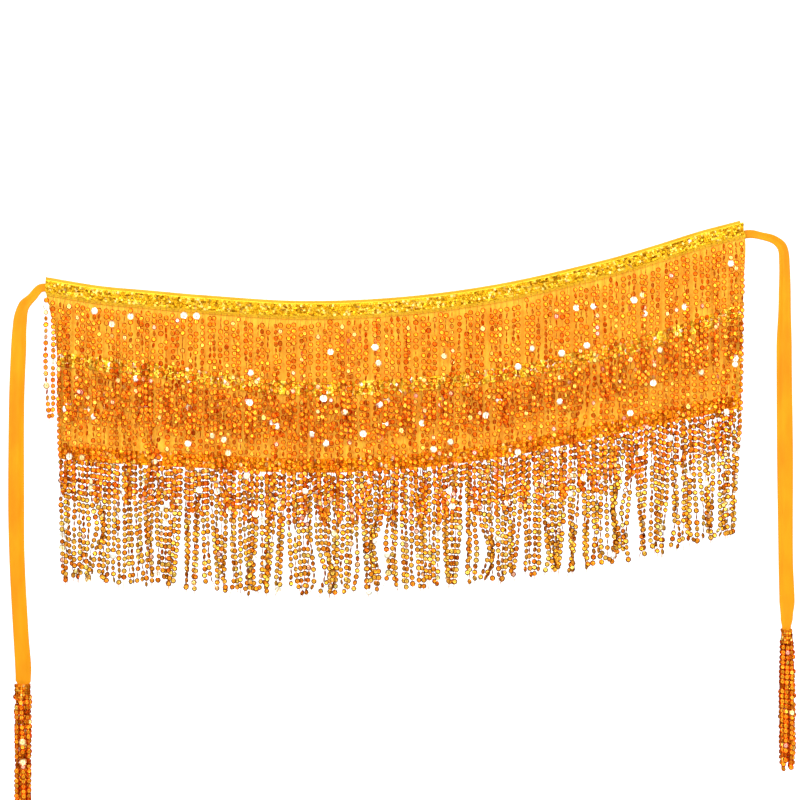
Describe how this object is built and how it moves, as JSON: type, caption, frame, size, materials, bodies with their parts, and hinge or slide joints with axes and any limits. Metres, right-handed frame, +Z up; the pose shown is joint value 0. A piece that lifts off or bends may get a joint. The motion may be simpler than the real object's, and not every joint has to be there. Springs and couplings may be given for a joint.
{
  "type": "belly dance hip scarf",
  "caption": "Sheer hip scarf with a narrow waistband, three overlapping rows of sequin fringe and a tasselled tie at each end, hanging as if held up by its two top corners.",
  "frame": {"origin": "the waistband's left end as seen from the front, at mid height, where a hand pinches it", "axes": "+X along the waistband towards the other grip, front faces -Y, +Z up"},
  "size_m": [1.0196, 0.0449, 0.7815],
  "materials": {
    "sheer_cloth": "sheer orange chiffon",
    "band_cloth": "plain orange chiffon, doubled and sewn",
    "sequins": "round cupped sequins, glossy amber and gold"
  },
  "bodies": {
    "root": {"cloth_panel": "sheer_cloth", "waistband": "band_cloth", "tie_left": "band_cloth", "tie_right": "band_cloth", "fringe_top": "sequins", "fringe_middle": "sequins", "fringe_bottom": "sequins", "tassel_left": "sequins", "tassel_right": "sequins"}
  },
  "joints": []
}
